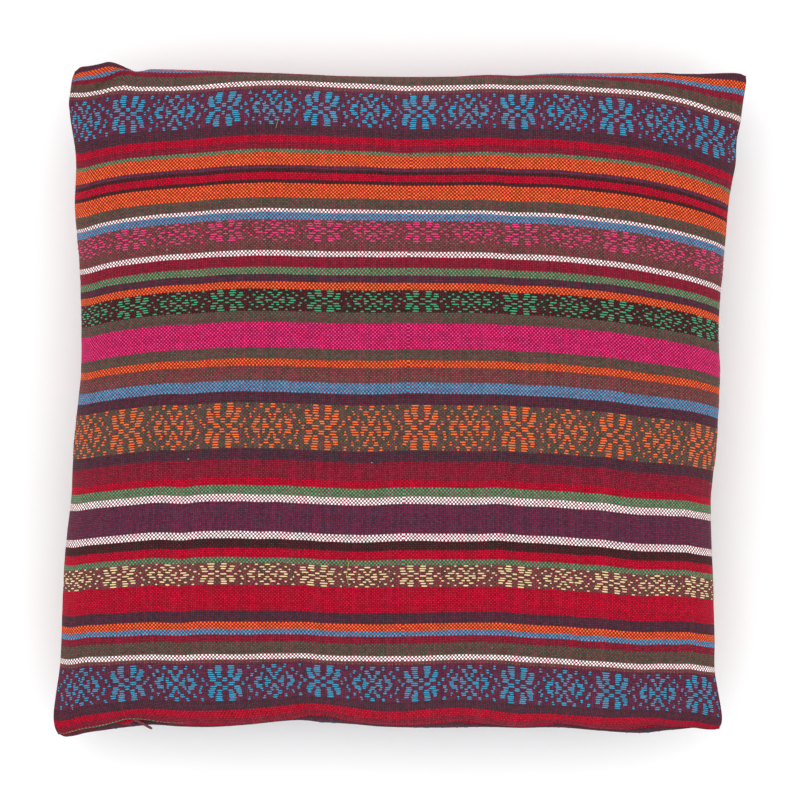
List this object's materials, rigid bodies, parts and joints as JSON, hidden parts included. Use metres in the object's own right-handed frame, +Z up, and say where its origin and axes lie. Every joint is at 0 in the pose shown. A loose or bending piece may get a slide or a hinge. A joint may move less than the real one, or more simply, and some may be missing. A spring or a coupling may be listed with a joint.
{
  "type": "square throw pillow",
  "caption": "Square filled throw pillow in a handwoven striped cotton cover with flower bands, zipped along one edge, lying on its back.",
  "frame": {"origin": "bottom centre of the pillow's box, on the surface it rests on", "axes": "+Z up, out of the striped face; -Y towards the zipped lower edge; +X to the right as the striped face is seen"},
  "size_m": [0.4432, 0.4332, 0.102],
  "materials": {
    "cover_cloth": "plain-woven cotton, dark red warp under weft stripes in orange, red, pink, blue, green, purple, olive, black and white, with raised flower bands",
    "zip_pull": "maroon enamel, worn lighter at the edges"
  },
  "bodies": {
    "root": {"cushion": "cover_cloth", "zip_pull": "zip_pull"}
  },
  "joints": []
}
